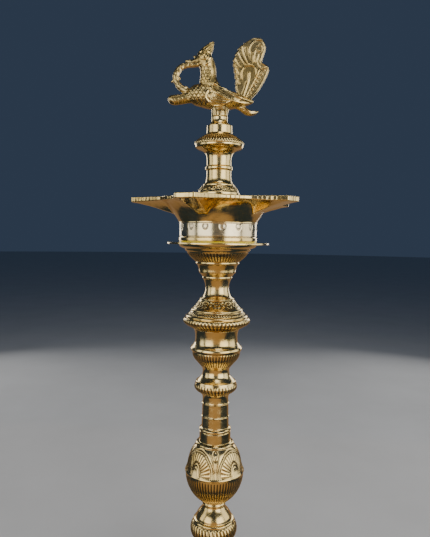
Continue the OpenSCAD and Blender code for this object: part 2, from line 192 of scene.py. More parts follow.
def fair_outline(points, closed):
    """An outline with its smooth runs made smooth curves and each corner eased by a small
    rounding, a parabola that starts and ends at the same short distance from the corner. Past
    the top, where the outline goes down inside a socket or a hollow, it has fewer points."""
    top = int(np.argmax(points[:, 1]))
    ring = np.concatenate([points, points[:1]]) if closed else points
    way = headings(ring)
    before = way[:-1]
    turning = np.arccos(np.clip((way[1:] * before).sum(1), -1, 1))
    cuts = [0, *(np.nonzero(turning > CORNER)[0] + 1), len(ring) - 1]
    runs = []
    for a, b in zip(cuts[:-1], cuts[1:]):
        if a < top:
            runs.append(smooth_run(ring[a : b + 1], OUTSIDE_SPACING, MOST_BEND))
        else:
            runs.append(smooth_run(ring[a : b + 1], INSIDE_SPACING, INSIDE_BEND))
    out = [runs[0][:1]]
    joints = list(zip(runs[:-1], runs[1:])) + ([(runs[-1], runs[0])] if closed else [])
    for n, run in enumerate(runs):
        out.append(run[1:-1])
        if n < len(joints):
            a, b = joints[n]
            tip = a[-1]
            back, on = a[-2] - tip, b[1] - tip
            reach = min(CORNER_REACH, 0.33 * np.linalg.norm(back), 0.33 * np.linalg.norm(on))
            p = tip + back / np.linalg.norm(back) * reach
            q = tip + on / np.linalg.norm(on) * reach
            out.append(np.array([p, (p + q + 2 * tip) / 4, q]))
    if not closed:
        out.append(runs[-1][-1:])
    made = np.concatenate(out)
    return made[1:] if closed else made


def widened(outline, spacing):
    """An outline with extra points up to its top, so that no step is longer than the spacing
    where ornament needs it. spacing is a function of the height z."""
    step = np.linalg.norm(np.diff(outline, axis=0), axis=1)
    middle = (outline[1:] + outline[:-1]) / 2
    need = np.maximum(1, np.ceil(step / spacing(middle[:, 1]))).astype(int)
    need[np.argmax(outline[:, 1]) :] = 1
    s = np.concatenate([[0], np.cumsum(need)])
    at = np.arange(s[-1] + 1)
    return np.stack([np.interp(at, s, outline[:, k]) for k in (0, 1)], 1)


# ---------------------------------------------------------------- ornament
#
# Each function here gives a cut: the depth at an angle round the axis and at t, which runs from
# 0 to 1 along the outline of its band


def ease(t, share=0.14):
    """Rises from 0 to 1 over the first share of a band and falls again over the last."""
    edge = np.clip(np.minimum(t, 1 - t) / share, 0, 1)
    return edge * edge * (3 - 2 * edge)


def groove(distance, width):
    """Depth, 0 to 1, of a round-bottomed cut at a distance from its middle line."""
    return np.exp(-((distance / width) ** 2))


def gadroons(count, depth, lean=0.0, share=0.14):
    """Rounded lobes parted by sharp grooves: the depth is one less the rounded lobe, which is
    the root of the size of a sine that goes round count / 2 times and leans along the band."""

    def cut(angle, t):
        lobe = np.abs(np.sin(count / 2 * angle + lean * math.pi * t))
        return depth * (1 - np.sqrt(lobe)) * ease(t, share)

    return cut


def beads(count, depth):
    """A row of round beads, each a half ball in its own cell."""

    def cut(angle, t):
        u = (count * angle / TURN) % 1 * 2 - 1
        v = 2 * t - 1
        return depth * (1 - np.sqrt(np.clip(1 - u * u - v * v, 0, 1)))

    return cut


def leaves(count, depth):
    """An engraved band of leaves: each cell has an outlined leaf with its rib and side veins,
    and a scroll between it and the next."""

    def cut(angle, t):
        u = (count * angle / TURN) % 1 * 2 - 1
        off = np.abs(u)
        half = 0.62 * np.sqrt(np.clip(1 - np.abs(2 * t - 0.9) ** 2.4, 0, 1))
        outline = groove(off - half, 0.11)
        rib = groove(u, 0.06) * (t > 0.12) * (t < 0.85)
        veins = np.clip(np.sin(16 * t - 6 * off), 0, 1) ** 2 * (off < half - 0.1) * 0.7
        far = np.hypot((1 - off) * 0.9, t - 0.62)
        scroll = groove(far - 0.2, 0.07)
        return depth * np.clip(outline + rib + veins + scroll, 0, 1) * ease(t, 0.1)

    return cut


def arches(count, depth, first):
    """Large double-lined arches round the bulb, with strokes fanning out between each arch and
    the small arch in its foot, and a lily bud in each space between two arches.

    Across an arch u runs from -1 to 1 at its feet, and t from 0 at the belt to 1 at its crown.
    An arch's lines lie where (u / width)^2 + (t / height)^2 is one, nearly."""

    def cut(angle, t):
        u = (count * (angle - first) / TURN + 0.5) % 1 * 2 - 1
        size = np.sqrt((u / 0.9) ** 2 + (t / 0.97) ** 2.2)
        outer = groove(size - 0.99, 0.022) + groove(size - 0.89, 0.018)
        inner = np.sqrt((u / 0.27) ** 2 + (t / 0.5) ** 2)
        small = groove(inner - 1, 0.07) * 0.9 + groove(inner - 0.72, 0.06) * 0.6
        strokes = np.abs(np.sin(15 * np.arctan2(t - 0.02, u * 0.95))) ** 0.7
        fanned = (1 - strokes) * (size < 0.84) * (inner > 1.1)
        aside = 1 - np.abs(u)
        bud = groove(np.hypot(aside / 0.16, (t - 0.8) / 0.2) - 1, 0.16) * (t > 0.55)
        stalk = groove(aside - 0.035, 0.016) * (t < 0.62)
        sepal = groove(aside - 0.3 * (t - 0.62), 0.02) * (t >= 0.62) * (t < 0.8)
        lily = (bud + stalk + sepal) * (size > 1.0)
        return depth * np.clip(outer + small + 0.8 * fanned + 0.8 * lily, 0, 1)

    return cut


def petals(count, depth):
    """Overlapping broad petals: each swells in the middle, with an outlined pointed tip and a
    smaller petal showing between two."""

    def cut(angle, t):
        u = (count * angle / TURN) % 1 * 2 - 1
        half = 0.94 * np.sqrt(np.clip(1 - t**2.6, 0, 1))
        inside = np.abs(u) < half
        swell = np.sqrt(np.clip(1 - (u / np.maximum(half, 0.05)) ** 2, 0, 1))
        body = np.where(inside, 0.55 * (1 - swell), 0.75)
        w = (count * angle / TURN + 0.5) % 1 * 2 - 1
        behind = groove(np.abs(w) - 0.5 * np.sqrt(np.clip(1.06 - t, 0, 1)), 0.07) * (~inside)
        rib = groove(u, 0.04) * inside * (t < 0.8)
        return depth * np.clip(body + 0.25 * behind + 0.2 * rib, 0, 1) * ease(t, 0.06)

    return cut


def thread(pitch, length, depth):
    """A right-hand screw thread along a band of that length: a groove that climbs one pitch in
    each turn, with rounded roots and crests."""

    def cut(angle, t):
        turns = t * length / pitch - angle / TURN
        return depth * (0.5 - 0.5 * np.cos(turns * TURN))

    return cut


# ---------------------------------------------------------------- turned pieces

# Depth of cut at which the painted shade of a recess is full
RECESS_FULL = 0.5 * MM
ANY_STEP = 1.0


def turned(name, node, bands, around, fine):
    """A turned piece: the CAD node's outline, made smooth and spun round the axis in so many
    points.

    Each band is (lowest z, highest z, cut): between those heights on the outside, each point
    moves inwards, square to the outline, by cut(angle, t), where t runs from 0 to 1 along the
    outline. No step along the outline there is longer than fine."""
    raw, closed = outline_of(node)
    outline = fair_outline(raw, closed)

    def spacing_at(z):
        in_band = np.zeros_like(z, bool)
        for low, high, _ in bands:
            in_band |= (z > low - fine) & (z < high + fine)
        return np.where(in_band, fine, ANY_STEP)

    outline = widened(outline, spacing_at)
    r, z = outline[:, 0], outline[:, 1]
    ahead = np.roll(outline, -1, 0) if closed else np.concatenate([outline[1:], outline[-1:]])
    behind = np.roll(outline, 1, 0) if closed else np.concatenate([outline[:1], outline[:-1]])
    way = ahead - behind
    way /= np.maximum(np.linalg.norm(way, axis=1, keepdims=True), 1e-12)
    out_r, out_z = way[:, 1], -way[:, 0]
    length = np.concatenate([[0], np.cumsum(np.linalg.norm(np.diff(outline, axis=0), axis=1))])
    angle = np.arange(around) * TURN / around
    depth = np.zeros((len(r), around))
    climb = np.argmax(z) + 1
    for low, high, cut in bands:
        rows = np.nonzero((z[:climb] >= low) & (z[:climb] <= high) & (out_r[:climb] > -0.2))[0]
        a, b = length[rows[0]], length[rows[-1]]
        t = (length[rows] - a) / (b - a)
        depth[rows] += cut(angle[None, :], t[:, None])
    rr = r[:, None] - depth * out_r[:, None]
    zz = z[:, None] - depth * out_z[:, None]
    points = np.stack([rr * np.cos(angle), rr * np.sin(angle), zz], -1).reshape(-1, 3)
    rows = len(r)
    quads = ring_quads(rows, around, close_rows=closed)
    # The cuts' depths become the recess mark, from which the finishes paint shade into the cuts
    marks = depth.ravel()
    triangles = ()
    if not closed:
        poles = np.array([[0, 0, z[0]], [0, 0, z[-1]]])
        points = np.concatenate([points, poles])
        marks = np.concatenate([marks, [0, 0]])
        triangles = end_fans(rows, around)
    return mesh_object(name, points, quads, triangles, {"recess": marks / RECESS_FULL})


# ---------------------------------------------------------------- oil pan


def between(a, b, count, keep_last=False):
    """Points in even steps from a to b, each a pair of arrays [r, z]; b is left out unless it is
    kept."""
    t = np.linspace(0, 1, count + 1)[: None if keep_last else -1, None, None]
    return (1 - t) * a + t * b


def softer(a, b, width, sign):
    """The larger (sign 1) or the smaller (sign -1) of two lengths, blended over a width."""
    return sign * width * np.logaddexp(sign * a / width, sign * b / width)


def ripple(x, y, z, size, seed, terms=9):
    """A gentle unevenness between about -1 and 1: sines in scattered directions, whose lengths
    are near the given size."""
    rng = np.random.default_rng(seed)
    ways = rng.normal(size=(terms, 3))
    ways /= np.linalg.norm(ways, axis=1, keepdims=True)
    pace = TURN / size * rng.uniform(0.6, 1.6, terms)
    start = rng.uniform(0, TURN, terms)
    total = 0
    for (a, b, c), k, s in zip(ways, pace, start):
        total = total + np.sin(k * (a * x + b * y + c * z) + s)
    return total / math.sqrt(2 * terms)


SPOUTS = 5
FIRST_SPOUT = math.radians(-20 - 90)
SPOUT_REACH = 86 * MM
KEEL_FALL = 0.086
KEEL_POWER = 1.3
SPOUT_ROOT = 25 * MM
SPOUT_TIP = 9 * MM
RIM_RADIUS = 60.5 * MM
RIM_DEPTH = 3.4 * MM
PAN_WALL = 2.6 * MM
DRUM_RADIUS = 39 * MM
DRUM_HEIGHT = 18 * MM
DRUM_WALL = 4.2 * MM
FLOOR = 5 * MM
BOSS_RADIUS = 15 * MM
BORE_RADIUS = 6.09 * MM
PAN_COLUMNS = 660
NOTCH_PITCH = 4.1 * MM
NOTCH_DEPTH = 0.32 * MM
CRESCENTS = 15
CRESCENT_DEPTH = 0.55 * MM
HAMMERED = 0.16 * MM
SHARP = 1e-7


def pan_edge(angle):
    """Plan of the pan's edge, and how far into a spout each angle is (0 beside it, 1 at its
    middle): a circle, joined by straight converging sides to each spout's blunt tip."""
    pitch = TURN / SPOUTS
    a = np.abs((angle - FIRST_SPOUT + pitch / 2) % pitch - pitch / 2)
    root_angle = math.asin(SPOUT_ROOT / RIM_RADIUS)
    root_x = RIM_RADIUS * math.cos(root_angle)
    slope = (SPOUT_ROOT - SPOUT_TIP) / (SPOUT_REACH - root_x)
    side = (SPOUT_ROOT + slope * root_x) / (np.sin(a) + slope * np.cos(a))
    spout = softer(SPOUT_REACH / np.cos(a), side, 0.7 * MM, -1)
    radius = softer(spout, np.full_like(a, RIM_RADIUS), 1.0 * MM, 1)
    return radius, np.cos(math.pi / 2 * np.clip(a / root_angle, 0, 1)) ** 0.6


def crescents(angle, z):
    """Stamped horseshoes, open at the top, in a row under the drum's edge."""
    u = ((CRESCENTS * angle / TURN) % 1 - 0.5) * TURN / CRESCENTS * DRUM_RADIUS
    v = z - 0.80 * DRUM_HEIGHT
    shape = np.hypot(u / (2.5 * MM), v / (3.0 * MM))
    arc = groove(shape - 1, 0.2) * (v < 1.6 * MM)
    bowl = 0.35 * (shape < 0.9) * (v < 1.8 * MM)
    return CRESCENT_DEPTH * np.clip(arc + bowl, 0, 1)


def evenly_round(columns):
    """Angles of columns that stand evenly along the pan's edge, and their way along it."""
    fine = np.linspace(0, TURN, 7201)
    edge, _ = pan_edge(fine)
    walk = np.concatenate([[0], np.cumsum(np.hypot(np.diff(edge), edge[1:] * np.diff(fine)))])
    along = np.arange(columns) * walk[-1] / columns
    return np.interp(along, walk, fine), along


def flare(start, edge, rim, low, high, count):
    """Rows from the drum's top out to the pan's edge, as [r, z]. The height is the lesser of
    two: the round bowl's, a parabola from the drum to the rim, and a spout's keel, which falls
    back from the edge as a power of the way from it."""
    t = np.linspace(0, 1, count + 1)[:, None] ** 1.25
    r = start + (edge - start) * t
    bowl = (high - low) * (1 - (1 - np.minimum(1, (r - start) / (rim - start))) ** 2)
    keel = high - low - KEEL_FALL * MM * (np.maximum(edge - r, 0) / MM) ** KEEL_POWER
    blend = 0.35 * MM * np.minimum(1, 8 * t * (1 - t)) + SHARP
    return np.stack([r, low + softer(bowl, keel, blend, -1)], -1)


def oil_pan():
    """The pan as one closed skin. Each column is a section at its own angle: out under the
    floor, up the drum, out along the flare to the edge, back over the lip, down inside, over
    the floor and the boss, and down the bore. The edge has file notches, and the cast part of
    the pan is a little uneven."""
    low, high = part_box("oil_pan")
    base, top = low.z, high.z - low.z
    angle, along = evenly_round(PAN_COLUMNS)
    radius, inwards = pan_edge(angle)

    def at(r, z):
        return np.stack(np.broadcast_arrays(r + 0 * angle, z + 0 * angle), -1)[None]

    hand = ripple(np.cos(angle), np.sin(angle), 0, 0.9, 11)
    lip_z = top + 0.25 * MM * (hand - 1)
    notch = np.abs(np.sin(math.pi * (along / NOTCH_PITCH + 0.25 * hand)))
    notch = np.clip(1 - notch / 0.5, 0, 1) ** 1.3
    rim = radius - NOTCH_DEPTH * notch - 0.35 * MM * (1 + ripple(along, 0, 0, 15 * MM, 5))
    under = lip_z - RIM_DEPTH - 1.3 * MM * inwards**2
    drum = [
        (DRUM_RADIUS, 0.3 * MM),
        (DRUM_RADIUS, 3.5 * MM),
        (DRUM_RADIUS - 0.8 * MM, 4.3 * MM),
        (DRUM_RADIUS - 0.4 * MM, 5.1 * MM),
        (DRUM_RADIUS - 0.4 * MM, DRUM_HEIGHT - 0.9 * MM),
        (DRUM_RADIUS, DRUM_HEIGHT - 0.5 * MM),
        (DRUM_RADIUS, DRUM_HEIGHT - 0.1 * MM),
    ]
    steps = [4, 3, 3, 30, 2, 1]
    inner = DRUM_RADIUS - DRUM_WALL
    foot = BOSS_RADIUS * 1.2
    outside = flare(
        DRUM_RADIUS - 0.35 * MM, rim - 0.5 * MM, RIM_RADIUS, DRUM_HEIGHT + 0.1 * MM, under, 34
    )
    inside = flare(
        inner, rim - PAN_WALL, RIM_RADIUS - PAN_WALL, DRUM_HEIGHT, lip_z - 0.4 * MM, 26
    )
    rows = [
        between(at(BORE_RADIUS, 0), at(DRUM_RADIUS - 0.3 * MM, 0), 5, True),
        *[between(at(*a), at(*b), n) for a, b, n in zip(drum[:-1], drum[1:], steps)],
        at(*drum[-1]),
        outside,
        between(at(rim - 0.1 * MM, under + 0.3 * MM), at(rim, lip_z - 0.4 * MM), 5, True),
        at(rim - 0.35 * MM, lip_z),
        at(rim - PAN_WALL + 0.4 * MM, lip_z),
        inside[::-1],
        between(at(inner, DRUM_HEIGHT - 1 * MM), at(inner, FLOOR + 1.5 * MM), 4, True),
        between(at(inner - 1.5 * MM, FLOOR), at(foot + 1 * MM, FLOOR), 4, True),
        between(at(foot, FLOOR + 0.6 * MM), at(BOSS_RADIUS, top - 0.4 * MM), 8, True),
        at(BOSS_RADIUS - 0.4 * MM, top),
        between(at(BORE_RADIUS + 0.3 * MM, top), at(BORE_RADIUS, top - 0.3 * MM), 1, True),
        between(at(BORE_RADIUS, top - 3 * MM), at(BORE_RADIUS, 0.3 * MM), 4, True),
    ]
    rows = np.concatenate(rows)
    r, z = rows[..., 0], rows[..., 1]
    on_drum = (r > DRUM_RADIUS - 0.6 * MM) & (z > 5 * MM) & (z < DRUM_HEIGHT)
    cut = crescents(angle[None, :], z) * on_drum
    cast_part = (z > DRUM_HEIGHT + 1 * MM) * (z < top - 5 * MM)
    x, y = r * np.cos(angle), r * np.sin(angle)
    z = z + ripple(x, y, z, 16 * MM, 3) * HAMMERED * cast_part
    points = np.stack([(r - cut) * np.cos(angle), (r - cut) * np.sin(angle), z + base], -1)
    # Painted shade: darker in the crescent stamps with their depth, and a little in the edge's
    # file notches
    recess_shade = cut / RECESS_FULL + 0.25 * notch * (r > radius - 1.2 * MM)
    quads = ring_quads(len(r), PAN_COLUMNS, close_rows=True)
    return mesh_object("pan_casting", points.reshape(-1, 3), quads, marks={"recess": recess_shade.ravel()})


# ---------------------------------------------------------------- bird and tail


def through(stations, steps):
    """A smooth run of rows through stations: cubics whose slopes are half of the chord between
    the stations on either side."""
    s = np.asarray(stations, float)
    a, b = np.concatenate([s[:1], s[:-2]]), s[:-1]
    c, d = s[1:], np.concatenate([s[2:], s[-1:]])
    t = (np.arange(steps) / steps)[:, None]
    a, b, c, d = (k[:, None, :] for k in (a, b, c, d))
    run = b + (c - a) * t / 2 + (2 * a - 5 * b + 4 * c - d) * t**2 / 2
    run = run + (3 * b - a - 3 * c + d) * t**3 / 2
    return np.concatenate([run.reshape(-1, s.shape[1]), s[-1:]])


def skin(stations, side=0.0, steps=8, around=40):
    """Points and triangles of a closed skin through elliptical rings. Each station, in
    millimetres and degrees, is [x, z, lean, half depth along Y, half height], and side is how far
    the whole skin stands off the middle plane."""
    s = through(stations, steps)
    x, z, lean, depth, tall = (s[:, k, None] for k in range(5))
    lean = np.radians(lean)
    angle = np.arange(around) * TURN / around
    up = tall * np.cos(angle)
    y = side + depth * np.sin(angle)
    points = np.stack([x - np.sin(lean) * up, y, z + np.cos(lean) * up], -1)
    rows = len(s)
    quads = ring_quads(rows, around)
    triangles = np.concatenate([quads[:, [0, 1, 2]], quads[:, [0, 2, 3]]])
    ends = np.stack([s[[0, -1], 0], [side, side], s[[0, -1], 1]], 1)
    triangles = np.concatenate([triangles, end_fans(rows, around)])
    return np.concatenate([points.reshape(-1, 3), ends]), triangles


def nearness(x, z, curve, width):
    """1 on a curve through given points in the side plane, falling off with distance."""
    c = through(curve, 6)
    ax, az = c[:-1, 0], c[:-1, 1]
    bx, bz = np.diff(c[:, 0]), np.diff(c[:, 1])
    px, pz = x[..., None] - ax, z[..., None] - az
    t = np.clip((px * bx + pz * bz) / (bx * bx + bz * bz), 0, 1)
    far = np.hypot(px - t * bx, pz - t * bz).min(-1)
    return np.exp(-((far / width) ** 2))


def chasing(x, z, ridges, cuts):
    """Height of raised lines less the depth of cut ones, each (size, width, curve)."""
    height = 0
    for tall, width, curve in ridges:
        height = height + tall * nearness(x, z, curve, width)
    for deep, width, curve in cuts:
        height = height - deep * nearness(x, z, curve, width)
    return height


def scales(x, z, size):
    """Overlapping round scales, edges down: 1 in the cuts between them."""
    row = np.floor(z / size)
    out = 0
    for k in (0, 1):
        v = z / size - (row + k)
        u = (x / size / 1.15 + 0.5 * ((row + k) % 2)) % 1 * 2 - 1
        out = np.maximum(out, groove(np.hypot(u, v * 1.1 - 0.1) - 0.92, 0.13) * (v < 0.2))
    return out


BODY = [
    [33, 15, 165, 0.8, 1.0], [30, 14.8, 165, 3.4, 2.6], [25, 14.6, 166, 6.4, 4.6],
    [18, 15, 168, 9.4, 6.6], [8, 16.2, 172, 11.6, 9.2], [-6, 18.4, 175, 12.3, 11.4],
    [-20, 20, 190, 10.6, 11.2], [-27, 19, 200, 7.6, 8.6], [-31, 17.6, 205, 4, 4.6],
]
RUMP = [
    [14, 12, 160, 3.6, 3.4], [20, 9.6, 148, 3.8, 3.2], [25.4, 5.8, 150, 3.6, 3.2],
    [30.4, 4.0, 182, 3.0, 2.8], [35, 4.6, 200, 1.8, 1.8], [38, 5.9, 205, 0.4, 0.5],
]
NECK = [
    [-5, 16, 118, 9, 14], [-9.6, 26, 104, 8, 11.2], [-11.6, 37, 94, 7, 8.2],
    [-12, 46, 94, 6.8, 7.8], [-14.6, 53, 100, 7.4, 8.4], [-15.4, 59, 78, 6.6, 7.2],
    [-13.4, 63, 66, 4.8, 5.6], [-10.6, 67, 62, 3.0, 4.0], [-8.2, 70.4, 62, 1.5, 2.0],
    [-6.6, 72.2, 62, 0.4, 0.5],
]
BEAK = [
    [-16, 54, 190, 4.6, 5.0], [-22, 53.4, 196, 3.4, 3.8], [-27, 52.4, 190, 2.4, 2.6],
    [-31, 52.6, 176, 1.6, 1.8], [-34.4, 53.6, 168, 0.6, 0.6],
]
GARLAND = [
    [-19, 51, 178, 2.8, 2.6], [-26, 50.2, 182, 2.8, 2.4], [-33, 49.6, 200, 2.8, 2.6],
    [-39.4, 46.6, 232, 2.8, 2.9], [-43, 40.6, 262, 2.8, 3.0], [-43, 34, 285, 3.0, 3.0],
    [-38.6, 27.6, 312, 3.4, 3.2], [-32, 24, 340, 4, 4.0],
]
SPIKE = [[-41, 38, 250, 2, 3.2], [-44.6, 34.6, 225, 1.5, 2.2], [-48.2, 32.6, 205, 0.5, 0.6]]
LEAF = [[-20, 55, 130, 2, 3.0], [-24.6, 57, 150, 1.3, 1.9], [-26.4, 58.4, 150, 0.4, 0.5]]
LUMP = [
    [-22, 20, 188, 6, 7.0], [-31, 18.2, 196, 5.4, 5.6], [-38, 16.4, 194, 5.0, 4.8],
    [-44, 15.6, 186, 4.9, 5.0], [-48, 16, 182, 4.2, 4.4], [-50.2, 16.2, 180, 2.4, 2.6],
    [-50.9, 16.2, 180, 0.6, 0.8],
]
LEGS = [
    [0, 0.2, 90, 6.4, 7.6], [0, 2.4, 90, 6.6, 8.0], [0.4, 7, 90, 8.2, 8.8], [0.6, 12, 90, 9.4, 11],
]
WING = [
    [21, 14.8, 168, 0.8, 1.4], [12, 15.6, 172, 3, 4.8], [2, 17, 176, 4.6, 7.4],
    [-7, 17.6, 180, 4.4, 7.6], [-13.6, 17, 184, 1.0, 3.4],
]
WING_SIDES = (-8.2, 8.2)

# Raised lines of the bird's relief, and its cut ones: each has a height or a depth, a width and a
# curve of [x, z] in the side plane, in millimetres
BIRD_RIDGES = [
    (1.3, 0.9, [(-6, 30.2), (2, 25.6), (10.5, 20.6), (19, 16.6), (28, 14.8)]),
    (1.1, 0.8, [(-4.6, 8.9), (-11, 12.5), (-13.9, 16.7), (-11.8, 21.8), (-9, 22.6),
        (-2.4, 19), (4.8, 15.5), (12, 13.8)]),
    (0.8, 0.7, [(-4.6, 8.9), (2, 9.6), (7.4, 11.4), (12, 13.8)]),
    (0.9, 0.8, [(-9.6, 31.6), (-9.2, 28), (-6.4, 25)]),
    (0.9, 1.2, [(-8.4, 55), (-10.6, 51.6), (-13.4, 49)]),
    (0.7, 0.7, [(-19.6, 60.6), (-15.6, 61.7), (-9.8, 60.4)]),
    (0.8, 0.6, [(-20.4, 57.4), (-19, 54.2), (-15.8, 53.1), (-12.6, 54.6), (-11.8, 58)]),
    (0.6, 0.6, [(-8, 13.4), (-10.2, 16.6), (-8.4, 19.4), (-5.6, 18.2), (-6.4, 15.8)]),
    (0.7, 0.6, [(12, 13.6), (20, 12.2), (28, 12.6)]),
    (0.6, 0.6, [(22, 8.6), (28, 5.2), (34, 5.4)]),
    (0.7, 0.7, [(-19.6, 49.4), (-26, 48.2), (-33, 47.2), (-38.6, 43.6), (-40.2, 37.6),
        (-37.4, 31.4), (-32, 27.6)]),
]
BIRD_CUTS = [
    (1.3, 1.9, [(-5, 25.6), (3, 21.6), (11, 17.4)]),
    (0.6, 0.5, [(-7.4, 55), (-5.6, 46), (-4.2, 38), (-0.4, 31)]),
    (0.7, 0.7, [(-15.6, 64), (-12, 67.2), (-8.6, 70)]),
    (0.6, 0.5, [(-12.2, 62.8), (-10, 65.6), (-8.4, 67.8)]),
    (0.6, 0.5, [(-33.6, 52.4), (-27, 51), (-21, 51.4)]),
    (0.6, 0.5, [(-4.2, 7.4), (-3.4, 3), (-3, 0)]),
    (0.6, 0.5, [(5.4, 9.6), (5.2, 4), (5.6, 0)]),
    (0.5, 0.5, [(-3.4, 4.4), (1, 4.9), (5.2, 4.4)]),
    (0.6, 0.6, [(-47, 17), (-41, 18), (-35, 20)]),
    (0.5, 0.45, [(-3, 14.6), (2, 13.6), (7, 13.2)]),
    (0.5, 0.45, [(-4, 12.2), (1, 11.6), (6, 11.8)]),
    (0.5, 0.45, [(-3, 17), (1.6, 15.6), (5, 14.8)]),
]
EYE = (-16, 57.4)
GARLAND_MIDDLE = (-30, 38.6)

# Boxes of the side plane that have a pattern, as low and high corners, and the sizes of scales
BREAST, BREAST_SCALE = ((-33, 9), (-13.5, 30)), 3.6
THROAT, THROAT_SCALE = ((-20, 31), (-8.4, 48)), 3.0
BACK, RUMP_TOP, BACK_SCALE = ((-8, 27), (16, 34)), ((10, 4), (30, 13.5)), 4.2
VINES = ((-50, 24), (-22, 56))
LUMP_END = ((-49.5, 10), (-33, 24))
VOXEL = 0.42 * MM
SMOOTHINGS = 6


def within(x, z, low, high):
    """1 inside a box of the side plane with soft edges, between its low and high corners."""
    (x0, z0), (x1, z1) = low, high
    fade = np.minimum(np.minimum(x - x0, x1 - x), np.minimum(z - z0, z1 - z))
    return np.clip(fade / 1.2, 0, 1)


def bird_relief(x, y, z, facing):
    """Height of the casting's relief over its plain skin, in millimetres: ridges and cuts along
    curves, a ringed eye, scales on the breast and neck, and veins round the garland. facing is
    how squarely the skin looks out of the side plane, and the relief fades where it doesn't."""
    side = np.clip((facing - 0.25) / 0.3, 0, 1)
    height = chasing(x, z, BIRD_RIDGES, BIRD_CUTS)
    eye = np.hypot(x - EYE[0], z - EYE[1])
    height = height + 0.9 * groove(eye, 0.95) + 0.5 * groove(eye - 2.2, 0.4)
    back = within(x, z, *BACK) + within(x, z, *RUMP_TOP) * 0.6
    height = height - 0.5 * within(x, z, *BREAST) * scales(x, z, BREAST_SCALE)
    height = height - 0.4 * within(x, z, *THROAT) * scales(x, z, THROAT_SCALE)
    height = height - 0.25 * back * scales(x, z, BACK_SCALE)
    aside, above = x - GARLAND_MIDDLE[0], z - GARLAND_MIDDLE[1]
    ring = np.hypot(aside, above)
    spokes = np.sin(17 * np.arctan2(above, aside) + ring * 0.9)
    vines = within(x, z, *VINES) * (ring > 8.6)
    height = height - 0.22 * vines * np.clip(spokes, 0, 1) ** 2
    lump = within(x, z, *LUMP_END)
    height = height - 0.22 * lump * np.clip(np.sin(1.5 * x + 0.8 * z), 0, 1) ** 2
    rough = 0.03 * ripple(x, y, z, 3.4, 21) + 0.14 * ripple(x, y, z, 9, 22)
    return height * side + rough


def remeshed(name, parts):
    """One closed skin round several that pass through each other: they are made voxels, and the
    new skin is smoothed. Gives its points, its quads and the points' outward normals."""
    offset, points, faces = 0, [], []
    for p, t in parts:
        points.append(p)
        faces.append(t + offset)
        offset += len(p)
    rough = mesh_object(name, np.concatenate(points) * MM, np.empty((0, 4)), np.concatenate(faces))
    remesh = rough.modifiers.new("voxels", "REMESH")
    remesh.mode, remesh.voxel_size = "VOXEL", VOXEL
    smooth = rough.modifiers.new("smooth", "SMOOTH")
    smooth.factor, smooth.iterations = 0.5, SMOOTHINGS
    graph = bpy.context.evaluated_depsgraph_get()
    made = bpy.data.meshes.new_from_object(rough.evaluated_get(graph))
    bpy.data.objects.remove(rough)
    co = np.empty(len(made.vertices) * 3, np.float32)
    made.vertices.foreach_get("co", co)
    normal = np.empty(len(made.vertices) * 3, np.float32)
    made.vertex_normals.foreach_get("vector", normal)
    corners = np.empty(len(made.loops), np.int32)
    made.loops.foreach_get("vertex_index", corners)
    bpy.data.meshes.remove(made)
    co, normal = (k.reshape(-1, 3).astype(float) for k in (co, normal))
    return co, corners.reshape(-1, 4), normal


def cast_bird():
    """The bird: skins for body, neck and head, beak, garland, lump, legs and two wings, joined
    as one casting, with its relief raised along the skin's normals."""
    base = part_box("bird_body")[0].z / MM
    parts = [skin(s) for s in (BODY, RUMP, NECK, BEAK, GARLAND, SPIKE, LEAF, LUMP, LEGS)]
    parts += [skin(WING, side) for side in WING_SIDES]
    co, quads, normal = remeshed("bird_cast", parts)
    x, y, z = co.T / MM
    height = bird_relief(x, y, z, np.abs(normal[:, 1]))
    co = co + normal * height[:, None] * MM
    co[:, 2] = np.maximum(co[:, 2], 0) + base * MM
    # Painted shade: the plain skin and the cuts are marked darker than the raised lines
    recess = np.clip(0.42 - height / 1.1, 0, 1)
    return mesh_object("bird_cast", co, quads, marks={"recess": recess})


TAIL_LEFT = [
    (19.4, 13.5), (19.6, 17.5), (15.4, 26), (14.6, 34), (13.6, 41), (12.6, 47), (12.0, 53),
    (13.4, 58.4), (15.4, 63), (18.6, 67.6), (23.4, 71), (28.4, 74), (34, 76.3),
]
TAIL_RIGHT = [
    (27.6, 13.5), (32, 18.4), (37, 24), (41.4, 31), (44.8, 37.4), (47.2, 43.4), (47.6, 46.6),
    (46, 49.8), (41.8, 51.6), (40.8, 54), (42, 58.6), (43.6, 63.4), (44, 68), (41.8, 73),
    (38, 75.8), (36, 76.3),
]
TAIL_RIDGES = [
    (0.9, 0.6, [(27.7, 61), (28, 66.4), (31, 71), (35.4, 73.6), (40, 72.6), (42.4, 68.6),
        (42, 63.4), (40, 58.6), (39.2, 53), (41.8, 50.4), (46, 47.6)]),
    (0.9, 0.6, [(33, 52.6), (32.6, 59), (34.2, 64.2), (37, 62.6), (40, 64), (40.4, 67.4),
        (38, 69.2), (35.8, 67.8)]),
    (0.7, 0.6, [(36.6, 60), (35.8, 54), (38.4, 48.2)]),
    (0.9, 0.6, [(21, 36.6), (20.6, 43), (23.4, 47.6), (29, 49.2), (34, 47), (35.4, 41.4),
        (34.6, 38.2)]),
    (1.0, 0.8, [(28, 42), (27.4, 35), (25, 27.4), (22.6, 20)]),
    (0.9, 0.6, [(46.2, 45.6), (42, 35), (35.6, 24.6), (27.6, 16)]),
    (0.9, 0.6, [(46, 47.4), (38.4, 45.4), (35.6, 39.6), (30.6, 30), (25, 18.6)]),
    (0.9, 0.7, [(21.6, 67), (23.6, 58.6), (27, 51)]),
    (0.8, 0.7, [(17.6, 61.4), (20.4, 55.6), (24, 50.4)]),
    (0.8, 0.6, [(14.6, 56), (17, 51.4), (19.6, 48)]),
    (0.8, 0.6, [(14.2, 50.6), (16.2, 46), (18.4, 41)]),
    (0.8, 0.6, [(15, 43.6), (16.2, 38.6), (18.6, 32)]),
]
